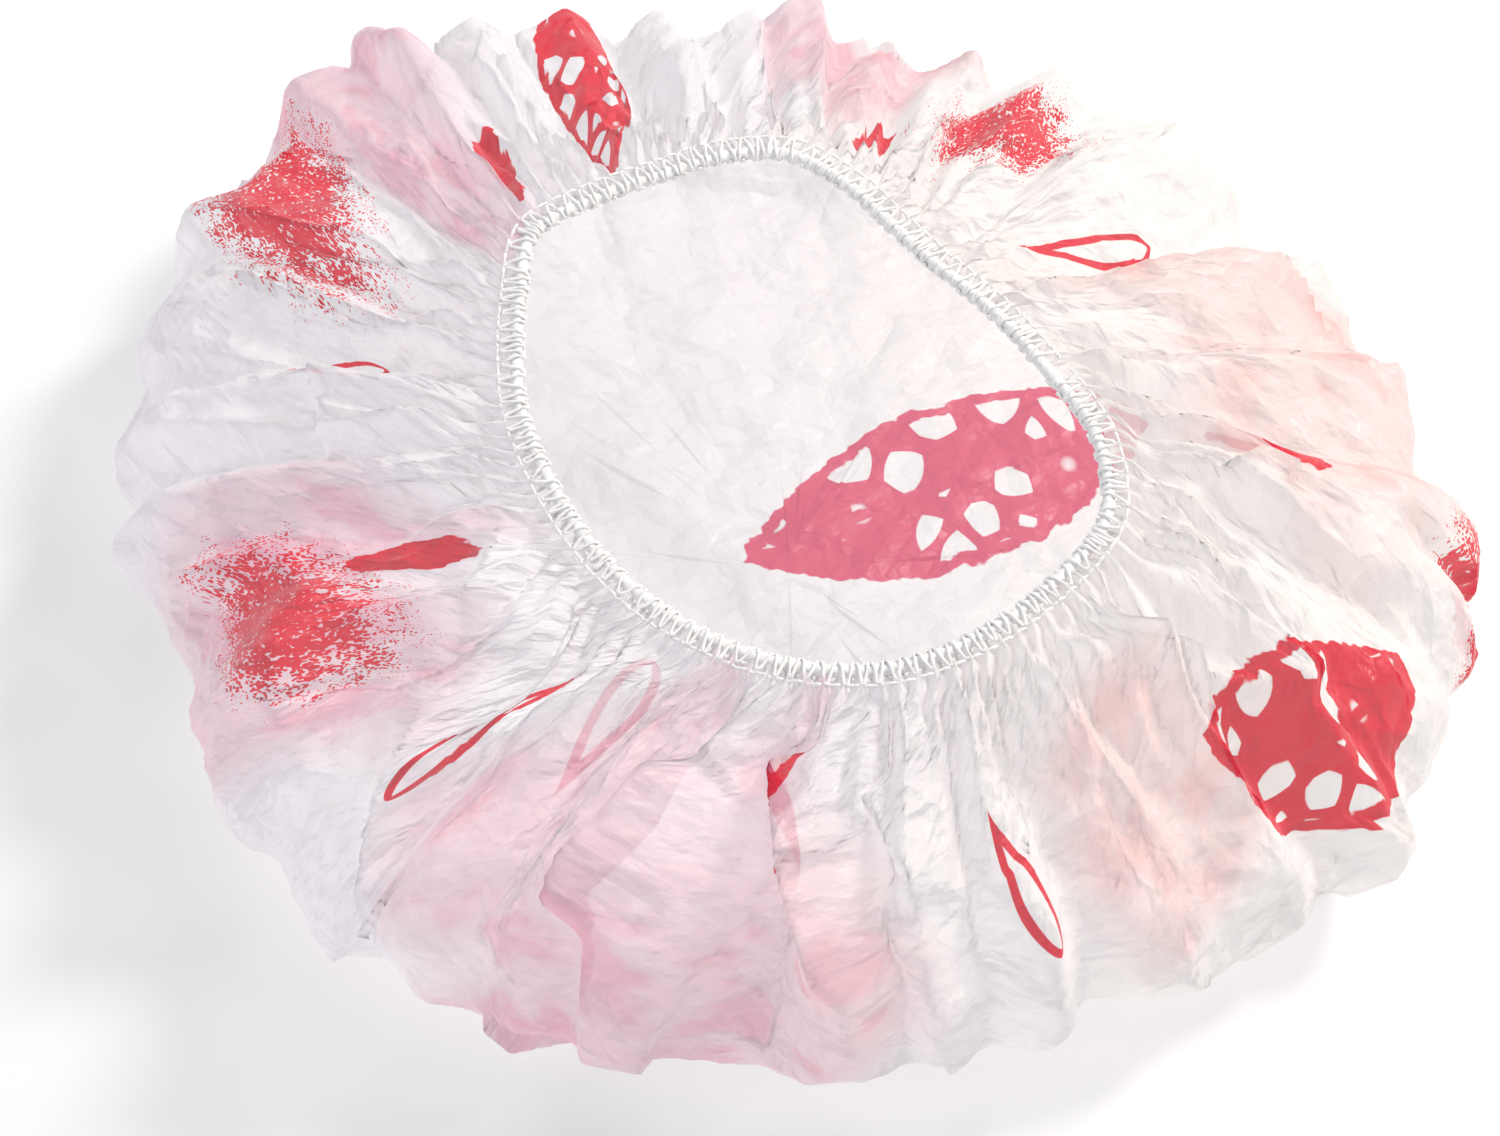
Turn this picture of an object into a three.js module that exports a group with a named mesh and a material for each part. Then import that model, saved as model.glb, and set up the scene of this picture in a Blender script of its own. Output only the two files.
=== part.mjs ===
// A shower cap as it lies: crown down, gathered opening up. Millimetres, +Z up.
// The origin is the middle of the crown's underside, on the surface that the cap lies on.
// The film is one round sheet, gathered onto an elastic cord by a three-thread overlock seam.

import * as THREE from 'three';

// Cap as it lies
const outerRadius = 132;
const capHeight = 70;
const openingRadius = 54;
const filmWall = 0.8;

// Gathers: the tallest fold, from its valleys to its crest
const foldDepth = 14;

// Elastic and the seam that holds it
const elasticDiameter = 2;
const threadDiameter = 0.5;
const stitchPitch = 3;
const stitchBite = 1.5;
const clearance = 0.3;

// Plan of the lying cap, as shares of its outer radius, every 15 degrees from +X towards +Y
const outlineShares = [
  1.00, 0.96, 0.95, 0.95, 0.93, 0.91, 0.90, 0.93, 1.00, 1.10, 1.08, 1.04,
  1.01, 0.96, 0.95, 0.96, 0.95, 0.93, 0.93, 0.94, 0.96, 1.01, 1.02, 1.03,
];

// Plan of the opening, as shares of its mean radius, at the same angles
const openingShares = [
  0.87, 0.76, 0.69, 0.67, 0.71, 0.81, 0.92, 0.93, 0.92, 0.96, 1.03, 0.96,
  0.93, 0.94, 0.95, 0.99, 1.05, 1.12, 1.19, 1.24, 1.24, 1.23, 1.22, 1.07,
];

// The opening's edge lies a little higher on one side, and has two low waves
const openingTiltShare = 0.045;
const openingTiltAngle = Math.PI * 0.8;
const openingWaveShare = 0.02;

// Rings of the film below its widest place: shares of the outline, the height and the folds' depth
const crownRingShares = [
  { out: 0.80, rise: 0, fold: 0 },
  { out: 0.93, rise: 0.07, fold: 0.15 },
  { out: 1, rise: 0.26, fold: 0.6 },
];

// Rings above it: shares of the way from the hem to the outline, the height and the folds' depth
const shoulderRingShares = [
  { out: 0.985, rise: 0.43, fold: 0.8 },
  { out: 0.88, rise: 0.62, fold: 0.95 },
  { out: 0.68, rise: 0.77, fold: 1 },
  { out: 0.45, rise: 0.88, fold: 0.85 },
  { out: 0.22, rise: 0.955, fold: 0.5 },
];

// Folds around the cap from +X towards +Y: how far round each crest leaves the hem and meets the
// outline, and how tall it is near the hem and far out at the outline, beside the tallest
const foldShares = [
  { hem: 0.000, outline: 0.028, near: 0.6, far: 0.4 },
  { hem: 0.036, outline: 0.062, near: 0.7, far: 0.7 },
  { hem: 0.072, outline: 0.128, near: 0.9, far: 0.8 },
  { hem: 0.108, outline: 0.165, near: 0.6, far: 0.2 },
  { hem: 0.140, outline: 0.190, near: 0.9, far: 0.6 },
  { hem: 0.166, outline: 0.215, near: 0.5, far: 0.3 },
  { hem: 0.189, outline: 0.236, near: 0.8, far: 0.5 },
  { hem: 0.210, outline: 0.254, near: 0.6, far: 0.2 },
  { hem: 0.240, outline: 0.276, near: 0.5, far: 0.3 },
  { hem: 0.276, outline: 0.302, near: 0.9, far: 0.5 },
  { hem: 0.312, outline: 0.328, near: 0.6, far: 0.2 },
  { hem: 0.347, outline: 0.350, near: 1, far: 0.7 },
  { hem: 0.369, outline: 0.376, near: 0.5, far: 0.3 },
  { hem: 0.400, outline: 0.426, near: 0.9, far: 0.8 },
  { hem: 0.434, outline: 0.452, near: 0.6, far: 0.2 },
  { hem: 0.468, outline: 0.494, near: 1, far: 0.6 },
  { hem: 0.502, outline: 0.526, near: 0.8, far: 0.7 },
  { hem: 0.540, outline: 0.580, near: 0.5, far: 0.4 },
  { hem: 0.578, outline: 0.640, near: 1, far: 0.9 },
  { hem: 0.616, outline: 0.664, near: 0.8, far: 0.5 },
  { hem: 0.654, outline: 0.686, near: 0.6, far: 0.3 },
  { hem: 0.692, outline: 0.706, near: 1, far: 0.7 },
  { hem: 0.722, outline: 0.764, near: 1, far: 0.8 },
  { hem: 0.750, outline: 0.782, near: 0.6, far: 0.5 },
  { hem: 0.778, outline: 0.806, near: 0.9, far: 0.7 },
  { hem: 0.808, outline: 0.832, near: 0.5, far: 0.2 },
  { hem: 0.850, outline: 0.870, near: 0.7, far: 0.4 },
  { hem: 0.883, outline: 0.898, near: 0.8, far: 0.8 },
  { hem: 0.907, outline: 0.926, near: 0.5, far: 0.2 },
  { hem: 0.938, outline: 0.957, near: 0.8, far: 0.6 },
  { hem: 0.969, outline: 0.985, near: 0.7, far: 0.5 },
];

// Half the width of a looper's turn, as a share of the stitch
const turnShare = 0.085;
// How far round the elastic's inner side each looper reaches past the middle
const interlockAngle = Math.PI / 36;

const elasticRingCount = 112;
const elasticSides = 6;
const threadSides = 3;
const curveDivisions = 960;

const elasticRadius = elasticDiameter / 2;
const threadRadius = threadDiameter / 2;

// The seam's section: distances outwards from the elastic's middle, and above the film's middle
const filmEdgeOut = elasticRadius + clearance;
const looperOut = filmEdgeOut + stitchBite;
const needleOut = looperOut + threadDiameter + clearance;
const hemOut = needleOut + threadRadius + clearance;
const threadLift = filmWall / 2 + clearance + threadRadius;
const wrapRadius = elasticRadius + clearance + threadRadius;

// A closed curve around the cap, with a radius and a height for each of its points
function closedCurve(meanRadius, radiusShares, heightAt) {
  const points = radiusShares.map((share, index) => {
    const angle = (index / radiusShares.length) * Math.PI * 2;
    const radius = meanRadius * share;
    return new THREE.Vector3(radius * Math.cos(angle), radius * Math.sin(angle), heightAt(angle));
  });
  const curve = new THREE.CatmullRomCurve3(points, true);
  curve.arcLengthDivisions = curveDivisions;
  return curve;
}

function openingHeight(angle) {
  const tilt = openingTiltShare * Math.cos(angle - openingTiltAngle);
  const wave = openingWaveShare * Math.cos(2 * angle);
  return capHeight * (1 + tilt + wave);
}

const outline = closedCurve(outerRadius, outlineShares, () => 0);
const opening = closedCurve(openingRadius, openingShares, openingHeight);

// A share of the way around, brought back to between 0 and 1
function wrapTurn(turn) {
  return turn - Math.floor(turn);
}

// A point of the seam: so far around the opening, so far outwards from the elastic, and so far up
function seamPoint(turn, out, lift) {
  const share = wrapTurn(turn);
  const tangent = opening.getTangentAt(share).setZ(0).normalize();
  const point = opening.getPointAt(share);
  point.x += tangent.y * out;
  point.y -= tangent.x * out;
  point.z += lift;
  return point;
}

// One closed body from points and triangles
function body(points, triangles, colour, roughness, name) {
  const geometry = new THREE.BufferGeometry();
  geometry.setFromPoints(points);
  geometry.setIndex(triangles.flat());
  geometry.computeVertexNormals();
  const material = new THREE.MeshStandardMaterial({
    color: colour,
    roughness,
    metalness: 0,
  });
  const mesh = new THREE.Mesh(geometry, material);
  mesh.name = name;
  return mesh;
}

// Triangles between two closed rings of points that start at the given places in a list
function bridge(first, second, count) {
  const triangles = [];
  for (let step = 0; step < count; step += 1) {
    const next = (step + 1) % count;
    triangles.push([first + step, first + next, second + next]);
    triangles.push([first + step, second + next, second + step]);
  }
  return triangles;
}

// A tube along points, carried without twist, open-ended with lids or closed on itself
function tubeAlong(path, radius, sides, closed) {
  const count = path.length;
  const points = [];
  const triangles = [];
  const firstWay = tangentOf(path, 0, closed);
  let side = new THREE.Vector3(0, 0, 1).addScaledVector(firstWay, -firstWay.z).normalize();
  const sideList = [];
  const wayList = [];
  for (let index = 0; index < count; index += 1) {
    const way = tangentOf(path, index, closed);
    side = side.clone().addScaledVector(way, -side.dot(way)).normalize();
    sideList.push(side);
    wayList.push(way);
  }
  for (let index = 0; index < count; index += 1) {
    const across = wayList[index].clone().cross(sideList[index]);
    for (let corner = 0; corner < sides; corner += 1) {
      const angle = (corner / sides) * Math.PI * 2;
      points.push(path[index].clone()
        .addScaledVector(sideList[index], radius * Math.cos(angle))
        .addScaledVector(across, radius * Math.sin(angle)));
    }
  }
  for (let index = 0; index < (closed ? count : count - 1); index += 1) {
    triangles.push(...bridge(index * sides, ((index + 1) % count) * sides, sides));
  }
  if (!closed) {
    for (let corner = 2; corner < sides; corner += 1) {
      const last = (count - 1) * sides;
      triangles.push([0, corner, corner - 1]);
      triangles.push([last, last + corner - 1, last + corner]);
    }
  }
  return { points, triangles };
}

function tangentOf(path, index, closed) {
  const count = path.length;
  const before = closed ? (index + count - 1) % count : Math.max(index - 1, 0);
  const after = closed ? (index + 1) % count : Math.min(index + 1, count - 1);
  return path[after].clone().sub(path[before]).normalize();
}

// The film's columns of points: one along each fold's crest, and one along the valley after it
const columns = foldShares.flatMap((fold, index) => {
  const next = foldShares[(index + 1) % foldShares.length];
  const wrap = index + 1 === foldShares.length ? 1 : 0;
  const valley = {
    hem: (fold.hem + next.hem + wrap) / 2,
    outline: (fold.outline + next.outline + wrap) / 2,
    near: -(fold.near + next.near) / 2,
    far: -(fold.far + next.far) / 2,
  };
  return [fold, valley];
});
const columnCount = columns.length;

// The film: an outer face from the crown's middle to the hem's edge, and an inner face under it
function makeFilm() {
  const rings = [];
  const addRing = (pointAt, farShare, foldShare, flatWay) => {
    rings.push({ points: columns.map(pointAt), farShare, foldShare, flatWay });
  };
  const hemOf = (column) => seamPoint(column.hem, hemOut, 0);
  for (const ring of crownRingShares) {
    addRing((column) => {
      const point = outline.getPointAt(wrapTurn(column.outline)).multiplyScalar(ring.out);
      return point.setZ(hemOf(column).z * ring.rise);
    }, 1, ring.fold, ring.rise === 0 ? -1 : 0);
  }
  for (const ring of shoulderRingShares) {
    addRing((column) => {
      const hem = hemOf(column);
      const point = hem.clone().lerp(outline.getPointAt(wrapTurn(column.outline)), ring.out);
      return point.setZ(hem.z * ring.rise);
    }, ring.out, ring.fold, 0);
  }
  addRing((column) => seamPoint(column.hem, hemOut, filmWall / 2), 0, 0, 1);
  addRing((column) => seamPoint(column.hem, filmEdgeOut, filmWall / 2), 0, 0, 1);

  const plain = rings.map((ring) => ring.points);
  const waved = rings.map((ring, index) => ring.points.map((point, place) => {
    const { near, far } = columns[place];
    const height = foldDepth / 2 * ring.foldShare * (near + (far - near) * ring.farShare);
    return point.clone().addScaledVector(faceNormal(plain, index, place), height);
  }));

  const points = [new THREE.Vector3(0, 0, 0), ...waved.flat()];
  const innerStart = points.length;
  points.push(new THREE.Vector3(0, 0, filmWall));
  waved.forEach((ring, index) => ring.forEach((point, column) => {
    const flatWay = rings[index].flatWay;
    const normal = flatWay ? new THREE.Vector3(0, 0, flatWay) : faceNormal(waved, index, column);
    points.push(point.clone().addScaledVector(normal, -filmWall));
  }));

  const outer = [];
  for (let column = 0; column < columnCount; column += 1) {
    outer.push([0, 1 + (column + 1) % columnCount, 1 + column]);
  }
  for (let ring = 0; ring + 1 < rings.length; ring += 1) {
    const here = 1 + ring * columnCount;
    outer.push(...bridge(here, here + columnCount, columnCount));
  }
  const inner = outer.map(([a, b, c]) => [innerStart + a, innerStart + c, innerStart + b]);
  const edge = 1 + (rings.length - 1) * columnCount;
  const rim = bridge(edge, innerStart + edge, columnCount);
  const triangles = [...outer, ...inner, ...rim];
  return body(points, triangles, 0xf3edef, 0.45, 'cap_film');
}

// The outward direction of the film at one point of its rings
function faceNormal(ringList, index, column) {
  const ring = ringList[index];
  const last = ringList.length - 1;
  const below = ringList[Math.max(index - 1, 0)][column];
  const above = ringList[Math.min(index + 1, last)][column];
  const before = ring[(column + columnCount - 1) % columnCount];
  const after = ring[(column + 1) % columnCount];
  const around = after.clone().sub(before);
  const along = above.clone().sub(below);
  return around.cross(along).normalize();
}

// The elastic cord: one ring inside the seam
function makeElastic() {
  const path = [];
  for (let index = 0; index < elasticRingCount; index += 1) {
    path.push(seamPoint(index / elasticRingCount, 0, 0));
  }
  const { points, triangles } = tubeAlong(path, elasticRadius, elasticSides, true);
  return body(points, triangles, 0xf6f5f2, 0.7, 'elastic_cord');
}

const stitchCount = Math.round(opening.getLength() / stitchPitch);

// Where a looper runs in the seam's section: from the film, over the elastic, to its inner side
const looperSection = sectionOfLooper();

function sectionOfLooper() {
  const start = new THREE.Vector2(looperOut, threadLift);
  const touch = start.angle() + Math.acos(wrapRadius / start.length());
  const inner = Math.PI + interlockAngle;
  const halfTurn = (inner - touch) / 3;
  const cornerRadius = wrapRadius / Math.cos(halfTurn);
  const corner = (angle) => new THREE.Vector2(cornerRadius * Math.cos(angle), cornerRadius * Math.sin(angle));
  return [start, corner(touch + halfTurn), corner(inner)];
}

// A looper thread: one zigzag over the film's face and the elastic, a V for each stitch
function makeLooper(face, startShare, name) {
  const [film, crest, inner] = looperSection;
  const legShare = 0.5 - 2 * turnShare;
  const outerLeg = film.distanceTo(crest);
  const crestShare = turnShare + legShare * outerLeg / (outerLeg + crest.distanceTo(inner));
  const stitch = [
    [turnShare, film],
    [crestShare, crest],
    [0.5 - turnShare, inner],
    [0.5 + turnShare, inner],
    [1 - crestShare, crest],
    [1 - turnShare, film],
  ];
  const path = [];
  for (let index = 0; index < stitchCount - 1; index += 1) {
    for (const [along, place] of stitch) {
      path.push(seamPoint((index + startShare + along) / stitchCount, place.x, face * place.y));
    }
  }
  const { points, triangles } = tubeAlong(path, threadRadius, threadSides, false);
  return body(points, triangles, 0xfbfaf7, 0.6, name);
}

// The needle thread: a line of stitches on the film's outer face
function makeNeedleThread() {
  const path = [];
  for (let index = 0; index < stitchCount - 1; index += 1) {
    path.push(seamPoint(index / stitchCount, needleOut, threadLift));
    path.push(seamPoint((index + 0.5) / stitchCount, needleOut, threadLift + threadRadius));
  }
  const { points, triangles } = tubeAlong(path, threadRadius, threadSides, false);
  return body(points, triangles, 0xfbfaf7, 0.6, 'overlock_needle_thread');
}

const showerCap = new THREE.Group();
showerCap.add(makeFilm());
showerCap.add(makeElastic());
showerCap.add(makeNeedleThread());
showerCap.add(makeLooper(1, 0, 'overlock_upper_looper_thread'));
showerCap.add(makeLooper(-1, 0.5, 'overlock_lower_looper_thread'));

export default showerCap;
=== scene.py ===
import math

import bpy
import numpy as np
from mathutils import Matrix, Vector


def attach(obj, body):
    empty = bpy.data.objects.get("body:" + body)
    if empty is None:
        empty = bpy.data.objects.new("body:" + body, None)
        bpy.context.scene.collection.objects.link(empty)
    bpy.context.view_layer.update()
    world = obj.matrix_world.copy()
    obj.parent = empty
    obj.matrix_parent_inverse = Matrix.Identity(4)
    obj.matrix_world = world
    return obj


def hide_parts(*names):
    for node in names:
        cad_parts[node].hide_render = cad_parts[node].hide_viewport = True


MM = 0.001
ALMOST_ZERO = 1e-12

# The lying cap, as the frame has it
OUTER_RADIUS = 132 * MM
CAP_HEIGHT = 70 * MM
OPENING_RADIUS = 54 * MM
OUTLINE_SHARES = (
    1.00, 0.96, 0.95, 0.95, 0.93, 0.91, 0.90, 0.93, 1.00, 1.10, 1.08, 1.04,
    1.01, 0.96, 0.95, 0.96, 0.95, 0.93, 0.93, 0.94, 0.96, 1.01, 1.02, 1.03,
)
OPENING_SHARES = (
    0.87, 0.76, 0.69, 0.67, 0.71, 0.81, 0.92, 0.93, 0.92, 0.96, 1.03, 0.96,
    0.93, 0.94, 0.95, 0.99, 1.05, 1.12, 1.19, 1.24, 1.24, 1.23, 1.22, 1.07,
)
OPENING_TILT_SHARE = 0.045
OPENING_TILT_ANGLE = math.pi * 0.8
OPENING_WAVE_SHARE = 0.02
CURVE_SAMPLES = 1440
DIRECTION_SAMPLES = 3

# The film's section, from crown to hem: shares of the outline's reach, the height and the folds' depth
CROWN_SHARES = ((0.40, 0.0, 0.0), (0.80, 0.0, 0.0), (0.93, 0.07, 0.12), (1.0, 0.26, 0.34))
SHOULDER_SHARES = (
    (0.985, 0.43, 0.5), (0.88, 0.62, 0.8), (0.68, 0.77, 1.0), (0.45, 0.88, 0.85), (0.22, 0.955, 0.5),
    (0.08, 0.985, 0.25),
)
SECTION_STEPS = 12

# The main folds: how far round each crest leaves the hem and meets the outline, and its height near
# the hem and far out, beside the tallest
FOLD_DEPTH = 14 * MM
MAIN_FOLD_SHARES = (
    (0.000, 0.028, 0.6, 0.4), (0.036, 0.062, 0.7, 0.7), (0.072, 0.128, 0.9, 0.8),
    (0.108, 0.165, 0.6, 0.2), (0.140, 0.190, 0.9, 0.6), (0.166, 0.215, 0.5, 0.3),
    (0.189, 0.236, 0.8, 0.5), (0.210, 0.254, 0.6, 0.2), (0.240, 0.276, 0.5, 0.3),
    (0.276, 0.302, 0.9, 0.5), (0.312, 0.328, 0.6, 0.2), (0.347, 0.350, 1, 0.7),
    (0.369, 0.376, 0.5, 0.3), (0.400, 0.426, 0.9, 0.8), (0.434, 0.452, 0.6, 0.2),
    (0.468, 0.494, 1, 0.6), (0.502, 0.526, 0.8, 0.7), (0.540, 0.580, 0.5, 0.4),
    (0.578, 0.640, 1, 0.9), (0.616, 0.664, 0.8, 0.5), (0.654, 0.686, 0.6, 0.3),
    (0.692, 0.706, 1, 0.7), (0.722, 0.764, 1, 0.8), (0.750, 0.782, 0.6, 0.5),
    (0.778, 0.806, 0.9, 0.7), (0.808, 0.832, 0.5, 0.2), (0.850, 0.870, 0.7, 0.4),
    (0.883, 0.898, 0.8, 0.8), (0.907, 0.926, 0.5, 0.2), (0.938, 0.957, 0.8, 0.6),
    (0.969, 0.985, 0.7, 0.5),
)

# The sheet before it was gathered, and the rings of its mesh
FILM_RADIUS = 250 * MM
FILM_SEED = 8
FILM_COLUMNS = 768
CROWN_DISTANCES = np.array([5, 12, 20, 28, 37, 47, 57, 67, 75, 82, 88, 93, 97, 101]) * MM
SHOULDER_START = 105 * MM
RING_STEP = 1.47 * MM
FLOOR_CLEARANCE = 0.3 * MM

# Waves around the cap: the fewest to a turn, the number that all stay under, and how many are added
PLEAT_WAVES = (3, 14, 5)
PLEAT_SPREAD_WAVES = (5, 17, 4)
LEAN_WAVES = (1, 7, 4)
STITCH_WAVES = (9, 31, 5)

# Pleats between the main folds: how many to each, their depth, and shares of the way from the hem
# to the outline where they are full and where they end
PLEATS = (
    (2, 7.5 * MM, 0.16, 0.75),
    (4, 4.5 * MM, 0.07, 0.38),
)
PLEAT_DRIFT = 0.35
PLEAT_OFFSET_SHARE = 0.36
PLEAT_HEIGHT_SHARES = (0.3, 1)
PLEAT_LENGTH_SHARES = (0.6, 1.3)
PLEAT_FADE_SHARE = 0.3
PLEATED_FROM_SHARES = (0.25, 0.42)
FOLD_LEAN = 0.85
RUFFLES = 110
RUFFLE_DEPTH = 1.3 * MM
RUFFLED_SHARE = 0.1

# Large folds seen from the front: pixels along each, its height, and its widths on its left and right
PLACED_FOLDS = (
    (((540, 470), (480, 560), (420, 680), (390, 790), (385, 900), (380, 1000)), 15 * MM, 12, 120),
    (((740, 770), (690, 850), (600, 940)), 11 * MM, 36, 20),
    (((800, 740), (830, 860), (870, 1010)), 8 * MM, 26, 26),
    (((870, 770), (930, 880), (895, 915), (925, 990)), 8 * MM, 16, 30),
    (((690, 640), (590, 700), (480, 750)), 10 * MM, 18, 38),
    (((1100, 500), (1200, 590), (1330, 700)), 9 * MM, 14, 50),
    (((1130, 450), (1260, 470), (1430, 530)), 8 * MM, 40, 20),
    (((1040, 640), (1180, 670), (1320, 700)), 7 * MM, 30, 20),
    (((510, 420), (380, 440), (240, 430), (100, 440)), 10 * MM, 30, 12),
    (((500, 500), (380, 540), (240, 560), (120, 590)), 8 * MM, 14, 30),
    (((330, 560), (300, 620), (280, 680), (300, 740)), 9 * MM, 45, 45),
)

# How these folds taper along their lines, face the camera and fade at the hem and the outline
PLACED_SHARPNESS = 1.3
PLACED_ENDS_SHARES = (0.12, 0.85)
PLACED_TIP_SHARE = 0.25
PLACED_FACING = (-0.1, 0.25)
PLACED_NEAR_HEM_SHARES = (0.02, 0.22)
PLACED_AT_OUTLINE_SHARES = (0.8, 1)
PLACED_LOSS_SHARE = 0.55

# Crumples: the size of their facets and their depth, how each facet tilts and bulges, and where they
# are calm, in shares of the sheet's radius from the hem
CRUMPLES = ((25 * MM, 4.2 * MM), (11 * MM, 2.7 * MM), (5.5 * MM, 1.0 * MM))
FACET_SPOT_SHARES = (0.1, 0.9)
FACET_TILT = 1.6
FACET_RISE_SHARE = 0.55
FACET_BULGE = 0.8
SPARE_CELLS = 2
CRUMPLED_FROM_HEM_SHARE = 0.12
CALM_MIDDLE_SHARES = (0.5, 0.65)
CALM_MIDDLE_LOSS_SHARE = 0.7

# Past this distance from the sheet's middle, crumples and creases are drawn out towards the hem
LONG_CREASES_FROM = 90 * MM
LONG_CREASES_SHARE = 0.5
LONG_CREASES_SPARE = (1 - LONG_CREASES_SHARE) * LONG_CREASES_FROM

# Creases: the turn of each layer of facets, its facets per millimetre, and its share of the height
CREASES = ((28, 0.085, 1.3), (71, 0.19, 0.45), (52, 0.42, 0.14))
CREASE_HEIGHT = 2.2 * MM
CREASE_STRENGTH = 1.0
CREASE_SWELL_SHARE = 0.2
CALM_CROWN_SHARE = 0.3
CALM_CROWN_EDGE = (80 * MM, 125 * MM)

# Noise over the flat sheet: its waves per millimetre, its detail and its roughness
CREASE_SWELL = (0.45, 2.0, 0.6)
WOBBLE_NOISE = (0.16, 2.0, 0.6)
SPRAY_NOISE = (0.7, 2.0, 0.7)

# The seam's section, measured outwards and upwards from the elastic's middle
ELASTIC_RADIUS = 1.1 * MM
FILM_EDGE_OUT = 1.3 * MM
HEM_OUT = 4.2 * MM
LOOPER_OUT = 2.6 * MM
NEEDLE_OUT = 3.4 * MM
SEAM_LIFT = 0.85 * MM
WRAP_RADIUS = 1.4 * MM

# The seam's stitches: shares of a stitch, of the seam's lift and of a loop's reach
STITCH_COUNT = 115
STITCH_DRIFT_SHARE = 0.3
LOOP_SLACK_SHARES = (0.86, 1.2)
SLACK_DRAWS = 4
LOOP_LEAN_SHARE = 0.12
LOOP_CORNER_SHARE = 0.1
LOOP_START_LIFT_SHARE = 0.9
LOOP_TIP_SHARE = 1.06
WRAP_SLACK_SHARE = 0.25
WRAP_ANGLES = (62, 108, 150, 176)
WRAP_SHARES = (0.24, 0.31, 0.38, 0.44)
NEEDLE_SHIFT = 0.1 * MM
NEEDLE_LIFT_SHARES = ((0.0, 0.2), (0.25, 0.75), (0.5, 0.85), (0.75, 0.75))

# The threads and the elastic
THREAD_RADIUS = 0.29 * MM
THREAD_SEED = 4
THREAD_SIDES = 8
THREAD_PLIES = 2
POINTS_PER_TWIST = 9
PATH_STEPS = 4
PLY_RELIEF = 0.18
YARN_SWELL_SHARES = (0.65, 1.4)
ELASTIC_STEPS = 900
ELASTIC_SIDES = 12
BRAID_STRANDS = 3
BRAID_TURNS = 150

# The print, in millimetres over the flat sheet from its middle: each motif's centre, turn and half sizes
LEAVES = (
    ((34, 22), 25, (48, 44)),
    ((150, -118), 250, (46, 44)),
    ((-60, 196), 100, (40, 36)),
)
DROPS = (
    ((-150, -150), 30, (22, 26)),
    ((60, -190), 75, (20, 22)),
    ((-205, 40), 120, (17, 22)),
    ((185, 110), 200, (20, 24)),
    ((-38, -40), 60, (20, 22)),
)
STROKES = (
    ((205, -20), 10, (13, 7)),
    ((-30, -215), 80, (17, 9)),
    ((-208, -70), 20, (14, 8)),
    ((90, 205), 60, (12, 8)),
    ((-130, 190), 140, (15, 7)),
)
SPRAYS = (
    ((-165, 95), 30, (62, 34)),
    ((-175, -75), 100, (46, 30)),
    ((120, 165), 130, (44, 26)),
    ((150, -30), 60, (30, 20)),
)
# Pink patches: partly the print's pale pink and partly painted shade, as the large patch on the front wall
# stands in for the shade that falls there
PINK_AND_PAINTED_SHADE_PATCHES = (
    ((-125, 140), 130, (70, 52)),
    ((-170, -70), 100, (64, 58)),
    ((-50, -172), 12, (104, 66)),
    ((182, 22), 90, (95, 54)),
    ((115, -165), 35, (52, 34)),
    ((45, 190), 165, (54, 34)),
)
MOTIFS = {"leaf": LEAVES, "drop": DROPS, "stroke": STROKES, "spray": SPRAYS}
MOTIF_REACH_SHARE = 1.6

# Edges of the pink patches, and painted lamp light: the film drifts from a painted cool light on the left
# to a painted warm light on the right
BLUSH_EDGE_SHARES = (0.45, 1.05)
BLUSH_RIPPLE_SHARE = 0.22
BLUSH_RIPPLE_ACROSS = 17 * MM
BLUSH_RIPPLE_ALONG = 23 * MM
BLUSH_RIPPLE_BEND = 2
PAINTED_WARMTH_RANGE = (-40 * MM, 140 * MM)
PAINTED_WARMTH_DRIFT = 25 * MM
PAINTED_WARMTH_DRIFT_LENGTH = 47 * MM

# The forms of the printed motifs, in shares of their half sizes
LEAF_WIDTH_SHARE = 0.46
LEAF_POINT = 2.2
LEAF_WOBBLE_SHARE = 0.14
LEAF_EDGE_SHARE = 0.012
LEAF_BORDER_SHARES = (0.07, 0.085)
LEAF_RIB_SHARES = (0.025, 0.04)
LEAF_VEIN_SHARES = (0.02, 0.05)
LEAF_CELLS = 4.6
LEAF_CELL_SHARES = (1.0, 0.8, 1.0)
LEAF_CELL_SCATTER = 0.8
LEAF_CELL_ROUNDING = 0.5
DROP_WIDTH_SHARE = 0.2
DROP_WIDENING_SHARE = 0.16
DROP_LINE_SHARE = 0.065
DROP_LINE_EDGE_SHARES = (0.042, 0.055)
STROKE_EDGE_SHARES = (1.35, 1.40)
STROKE_WOBBLE_SHARE = 0.9
SPRAY_EDGE_SHARES = (0.55, 1.5)
SPRAY_WOBBLE_SHARE = 0.8
SPRAY_NOISE_SHARE = 0.5
SPRAY_NOISE_OFFSET = -0.27
SPRAY_DENSITY = 0.92
SPECKS_PER_MM = 1.3
SPECK_EDGE = 0.1

# The film's finish: how it looks to the camera, and what other rays meet in its place
FILM_CLEARNESS = 0.30
INKED_CLEARNESS = 0.25 * FILM_CLEARNESS
FILM_TRANSLUCENCE = 0.34
FILM_IOR = 1.48
FILM_ROUGHNESS = (0.34, 0.5)
ROUGHNESS_WOBBLE = (0.3, 0.7)
LIGHT_THROUGH = 0.68
FILM_GLOW = (0.93, 0.87, 0.88, 1)
GLOW_THROUGH = 0.5

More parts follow.
